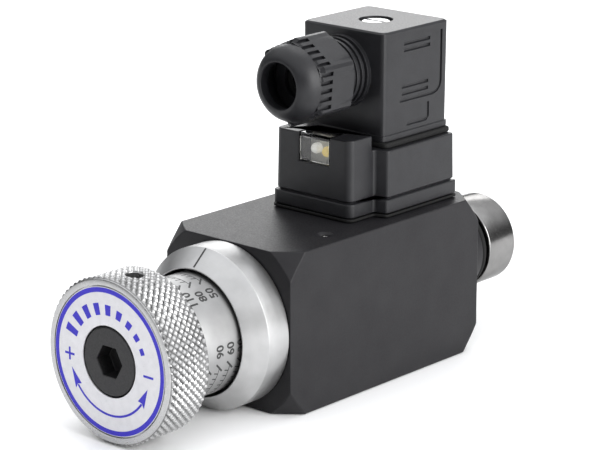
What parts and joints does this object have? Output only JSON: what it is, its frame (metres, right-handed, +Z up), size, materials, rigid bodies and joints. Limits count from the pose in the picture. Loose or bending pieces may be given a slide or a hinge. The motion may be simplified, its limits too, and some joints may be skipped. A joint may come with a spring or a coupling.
{
  "type": "flow control valve",
  "caption": "Valve block with a graduated knurled adjusting knob, a round end port fitting and a square electrical plug with lamps and a cable gland on top.",
  "frame": {"origin": "centre of the block's bottom face", "axes": "+Y along the valve's axis from the knob to the port, +Z up to the plug, +X to the right seen from the knob"},
  "size_m": [0.045, 0.1545, 0.0956],
  "materials": {
    "anodised_black": "matte black anodised, fine bead-blasted",
    "silver_aluminium": "matte silver anodised, turned",
    "bright_steel": "bright turned steel",
    "brass": "plain",
    "black_steel": "black oxide",
    "black_plastic": "satin moulded, glass-filled",
    "black_rubber": "matte",
    "grey_plastic": "matte moulded",
    "label_white": "printed foil",
    "amber_lamp": "diffused lamp body",
    "circuit_board": "solder mask",
    "clear_plastic": "clear moulded"
  },
  "bodies": {
    "housing": {"valve_body": "anodised_black", "top_set_screw": "black_steel", "index_ring": "silver_aluminium", "guide_bush": "brass", "bush_circlip": "black_steel", "piston_bush": "bright_steel", "piston_seal": "black_rubber", "bush_seal": "black_rubber", "port_seal": "black_rubber", "port_neck": "anodised_black", "port_fitting": "bright_steel", "microswitch_case": "black_plastic", "switch_terminal_1": "brass", "switch_terminal_2": "brass", "switch_terminal_3": "brass", "switch_lead_1": "black_rubber", "switch_lead_2": "black_rubber", "switch_lead_3": "black_rubber", "flange_gasket": "black_rubber", "connector_base": "black_plastic", "base_screw_1": "bright_steel", "base_screw_2": "bright_steel", "base_screw_3": "bright_steel", "base_screw_4": "bright_steel", "pin_carrier": "grey_plastic", "contact_pin_1": "brass", "contact_pin_2": "brass", "contact_pin_3": "brass", "contact_pin_4": "brass", "led_board": "circuit_board", "led_power": "label_white", "led_signal": "amber_lamp", "led_lens": "clear_plastic"},
    "carriage": {"front_spring_seat": "bright_steel", "thrust_ball": "bright_steel", "main_spring": "bright_steel"},
    "adjuster": {"knob": "silver_aluminium", "knob_label": "label_white", "knob_screw": "black_steel", "knob_set_screw": "black_steel", "scale_drum": "silver_aluminium", "adjusting_spindle": "bright_steel"},
    "piston_group": {"piston": "bright_steel", "spring_plate": "bright_steel"},
    "switch_button": {"microswitch_plunger": "label_white"},
    "plug": {"plug_housing": "black_plastic", "plug_gasket": "black_rubber", "plug_insert": "grey_plastic", "terminal_screw_1": "brass", "terminal_screw_2": "brass", "terminal_screw_3": "brass", "terminal_screw_4": "brass", "gland_grommet": "black_rubber"},
    "plug_screw_slide": {"screw_washer": "black_rubber"},
    "plug_screw_body": {"plug_screw": "bright_steel"},
    "gland_slide": {"gland_washer": "black_plastic"},
    "gland_nut_body": {"gland_nut": "black_plastic"}
  },
  "joints": [
    {"name": "spindle_travel", "type": "slide", "parent": "housing", "child": "carriage", "axis": [0, 1, 0], "range_m": [-0.006, 0.0153], "deforming": ["main_spring"]},
    {"name": "knob_turn", "type": "hinge", "parent": "carriage", "child": "adjuster", "pos_m": [0, -0.0701, 0.0225], "axis": [0, 1, 0], "range_deg": [-541, 1380]},
    {"name": "piston_stroke", "type": "slide", "parent": "housing", "child": "piston_group", "axis": [0, -1, 0], "range_m": [0, 0.0012], "stiffness_N_per_m": 2000},
    {"name": "plunger_press", "type": "slide", "parent": "housing", "child": "switch_button", "axis": [0, 0, 1], "range_m": [0, 0.00061]},
    {"name": "plug_pull", "type": "slide", "parent": "housing", "child": "plug", "axis": [0, 0, 1], "range_m": [0, 0.014]},
    {"name": "screw_lift", "type": "slide", "parent": "plug", "child": "plug_screw_slide", "axis": [0, 0, 1], "range_m": [0, 0.005]},
    {"name": "plug_screw_turn", "type": "hinge", "parent": "plug_screw_slide", "child": "plug_screw_body", "pos_m": [0, 0.02085, 0.0955], "axis": [0, 0, 1], "range_deg": [0, 3601]},
    {"name": "gland_travel", "type": "slide", "parent": "plug", "child": "gland_slide", "axis": [0, -1, 0], "range_m": [0, 0.006]},
    {"name": "gland_turn", "type": "hinge", "parent": "gland_slide", "child": "gland_nut_body", "pos_m": [0, -0.0012, 0.08334], "axis": [0, -1, 0], "range_deg": [0, 1441]}
  ],
  "couplings": [
    {"joint": "knob_turn", "follows": "spindle_travel", "rad_per_m": 1570.8},
    {"joint": "plunger_press", "follows": "piston_stroke", "ratio": 0.5},
    {"joint": "plug_screw_turn", "follows": "screw_lift", "rad_per_m": 12566},
    {"joint": "gland_turn", "follows": "gland_travel", "rad_per_m": 4188.8}
  ]
}
